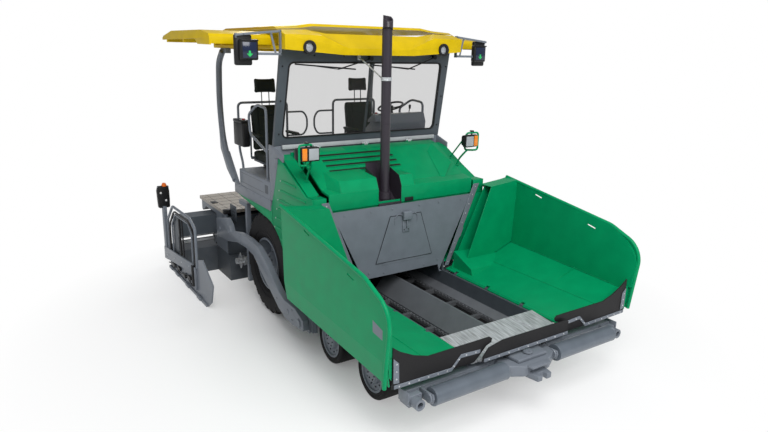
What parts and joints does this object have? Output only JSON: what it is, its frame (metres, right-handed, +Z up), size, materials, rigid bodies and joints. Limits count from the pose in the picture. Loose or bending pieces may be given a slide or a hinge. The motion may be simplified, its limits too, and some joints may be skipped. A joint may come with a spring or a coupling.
{
  "type": "wheeled asphalt paver",
  "caption": "Wheeled asphalt paver with folding hopper, steered front wheels, roofed operator stand and extending screed.",
  "frame": {"origin": "ground point under the middle of the machine's outer box", "axes": "+Z up, -Y is the travel direction with the hopper, -X is the machine's right side"},
  "size_m": [3.98, 6.385, 3.8344],
  "materials": {
    "green_paint": "bright green gloss paint",
    "grey_paint": "mid grey satin paint",
    "dark_paint": "dark grey satin paint",
    "yellow_shell": "yellow gloss moulding",
    "tyre_rubber": "black tyre rubber",
    "sheet_rubber": "black ribbed sheet rubber",
    "bare_steel": "worn bare steel",
    "seat_cover": "black seat upholstery",
    "window_glass": "clear pane",
    "lamp_housing": "black lamp housing",
    "black_enamel": "black heat resistant enamel",
    "walk_grating": "pale anti-slip grating",
    "cast_block": "engine casting"
  },
  "bodies": {
    "chassis": {"chassis_frame": "dark_paint", "engine_block": "cast_block", "conveyor_trough": "bare_steel", "conveyors": "bare_steel", "chute_plate": "grey_paint", "front_sill": "bare_steel", "centre_apron": "sheet_rubber", "side_covers": "green_paint", "mudguards": "green_paint", "nose_cowl": "green_paint", "platform": "grey_paint", "windshield_frame": "dark_paint", "windshield_glass": "window_glass", "roof": "yellow_shell", "rear_posts": "grey_paint", "seats": "seat_cover", "console": "grey_paint", "handrails": "grey_paint", "exhaust": "black_enamel", "work_lamps": "lamp_housing", "displays": "lamp_housing", "axles": "grey_paint", "tow_guides": "grey_paint", "auger_carrier": "dark_paint"},
    "crossbar": {"crossbar": "grey_paint"},
    "hood": {"hood_lid": "green_paint"},
    "tow_blocks": {"tow_blocks": "grey_paint"},
    "screed": {"tow_arms": "grey_paint", "screed_body": "dark_paint", "screed_walkway": "walk_grating"},
    "push_roller_left": {"push_roller_left": "bare_steel"},
    "rear_wheel_left": {"rear_tyre_left": "tyre_rubber", "rear_rim_left": "grey_paint"},
    "wing_left": {"wing_left": "green_paint", "wing_apron_left": "sheet_rubber"},
    "roof_flap_left": {"roof_flap_left": "yellow_shell"},
    "extension_left": {"extension_left": "dark_paint", "end_gate_left": "grey_paint"},
    "auger_left": {"auger_left": "bare_steel"},
    "knuckle_1_left": {"knuckle_1_left": "dark_paint"},
    "front_wheel_1_left": {"front_tyre_1_left": "tyre_rubber", "front_rim_1_left": "grey_paint"},
    "knuckle_2_left": {"knuckle_2_left": "dark_paint"},
    "front_wheel_2_left": {"front_tyre_2_left": "tyre_rubber", "front_rim_2_left": "grey_paint"},
    "push_roller_right": {"push_roller_right": "bare_steel"},
    "rear_wheel_right": {"rear_tyre_right": "tyre_rubber", "rear_rim_right": "grey_paint"},
    "wing_right": {"wing_right": "green_paint", "wing_apron_right": "sheet_rubber"},
    "roof_flap_right": {"roof_flap_right": "yellow_shell"},
    "extension_right": {"extension_right": "dark_paint", "end_gate_right": "grey_paint"},
    "auger_right": {"auger_right": "bare_steel"},
    "knuckle_1_right": {"knuckle_1_right": "dark_paint"},
    "front_wheel_1_right": {"front_tyre_1_right": "tyre_rubber", "front_rim_1_right": "grey_paint"},
    "knuckle_2_right": {"knuckle_2_right": "dark_paint"},
    "front_wheel_2_right": {"front_tyre_2_right": "tyre_rubber", "front_rim_2_right": "grey_paint"}
  },
  "joints": [
    {"name": "crossbar_swivel", "type": "hinge", "parent": "chassis", "child": "crossbar", "pos_m": [0, -2.67, 0.525], "axis": [0, 0, 1], "range_deg": [-8, 8]},
    {"name": "hood_open", "type": "hinge", "parent": "chassis", "child": "hood", "pos_m": [0, 0.108, 2.262], "axis": [-1, 0, 0], "range_deg": [0, 50]},
    {"name": "tow_point_lift", "type": "slide", "parent": "chassis", "child": "tow_blocks", "axis": [0, 0, 1], "range_m": [0, 0.15]},
    {"name": "screed_lift", "type": "hinge", "parent": "tow_blocks", "child": "screed", "pos_m": [0, -0.69, 0.36], "axis": [1, 0, 0], "range_deg": [0, 7]},
    {"name": "push_roller_spin_left", "type": "hinge", "parent": "crossbar", "child": "push_roller_left", "pos_m": [0.78, -2.984, 0.545], "axis": [1, 0, 0], "continuous": true},
    {"name": "rear_wheel_spin_left", "type": "hinge", "parent": "chassis", "child": "rear_wheel_left", "pos_m": [1.0685, 0.56, 0.685], "axis": [1, 0, 0], "continuous": true},
    {"name": "wing_fold_left", "type": "hinge", "parent": "chassis", "child": "wing_left", "pos_m": [0.672, -1.84, 0.69], "axis": [0, -1, 0], "range_deg": [0, 40]},
    {"name": "flap_slide_left", "type": "slide", "parent": "chassis", "child": "roof_flap_left", "axis": [-1, 0, 0], "range_m": [0, 0.7]},
    {"name": "extension_slide_left", "type": "slide", "parent": "screed", "child": "extension_left", "axis": [1, 0, 0], "range_m": [-0.48, 0.59]},
    {"name": "auger_spin_left", "type": "hinge", "parent": "chassis", "child": "auger_left", "pos_m": [0.6, 1.75, 0.36], "axis": [1, 0, 0], "continuous": true},
    {"name": "steer_1_left", "type": "hinge", "parent": "chassis", "child": "knuckle_1_left", "pos_m": [0.84, -1.98, 0.272], "axis": [0, 0, 1], "range_deg": [-25, 25]},
    {"name": "front_wheel_spin_1_left", "type": "hinge", "parent": "knuckle_1_left", "child": "front_wheel_1_left", "pos_m": [1.05, -1.98, 0.272], "axis": [1, 0, 0], "continuous": true},
    {"name": "steer_2_left", "type": "hinge", "parent": "chassis", "child": "knuckle_2_left", "pos_m": [0.84, -1.104, 0.272], "axis": [0, 0, 1], "range_deg": [-16.38, 16.38]},
    {"name": "front_wheel_spin_2_left", "type": "hinge", "parent": "knuckle_2_left", "child": "front_wheel_2_left", "pos_m": [1.05, -1.104, 0.272], "axis": [1, 0, 0], "continuous": true},
    {"name": "push_roller_spin_right", "type": "hinge", "parent": "crossbar", "child": "push_roller_right", "pos_m": [-0.78, -2.984, 0.545], "axis": [1, 0, 0], "continuous": true},
    {"name": "rear_wheel_spin_right", "type": "hinge", "parent": "chassis", "child": "rear_wheel_right", "pos_m": [-1.0685, 0.56, 0.685], "axis": [1, 0, 0], "continuous": true},
    {"name": "wing_fold_right", "type": "hinge", "parent": "chassis", "child": "wing_right", "pos_m": [-0.672, -1.84, 0.69], "axis": [0, 1, 0], "range_deg": [0, 40]},
    {"name": "flap_slide_right", "type": "slide", "parent": "chassis", "child": "roof_flap_right", "axis": [1, 0, 0], "range_m": [0, 0.7]},
    {"name": "extension_slide_right", "type": "slide", "parent": "screed", "child": "extension_right", "axis": [-1, 0, 0], "range_m": [-0.48, 0.59]},
    {"name": "auger_spin_right", "type": "hinge", "parent": "chassis", "child": "auger_right", "pos_m": [-0.6, 1.75, 0.36], "axis": [1, 0, 0], "continuous": true},
    {"name": "steer_1_right", "type": "hinge", "parent": "chassis", "child": "knuckle_1_right", "pos_m": [-0.84, -1.98, 0.272], "axis": [0, 0, 1], "range_deg": [-25, 25]},
    {"name": "front_wheel_spin_1_right", "type": "hinge", "parent": "knuckle_1_right", "child": "front_wheel_1_right", "pos_m": [-1.05, -1.98, 0.272], "axis": [1, 0, 0], "continuous": true},
    {"name": "steer_2_right", "type": "hinge", "parent": "chassis", "child": "knuckle_2_right", "pos_m": [-0.84, -1.104, 0.272], "axis": [0, 0, 1], "range_deg": [-16.38, 16.38]},
    {"name": "front_wheel_spin_2_right", "type": "hinge", "parent": "knuckle_2_right", "child": "front_wheel_2_right", "pos_m": [-1.05, -1.104, 0.272], "axis": [1, 0, 0], "continuous": true}
  ],
  "couplings": [
    {"joint": "steer_2_left", "follows": "steer_1_left", "ratio": 0.655},
    {"joint": "steer_1_right", "follows": "steer_1_left", "ratio": 1},
    {"joint": "steer_2_right", "follows": "steer_1_left", "ratio": 0.655}
  ]
}
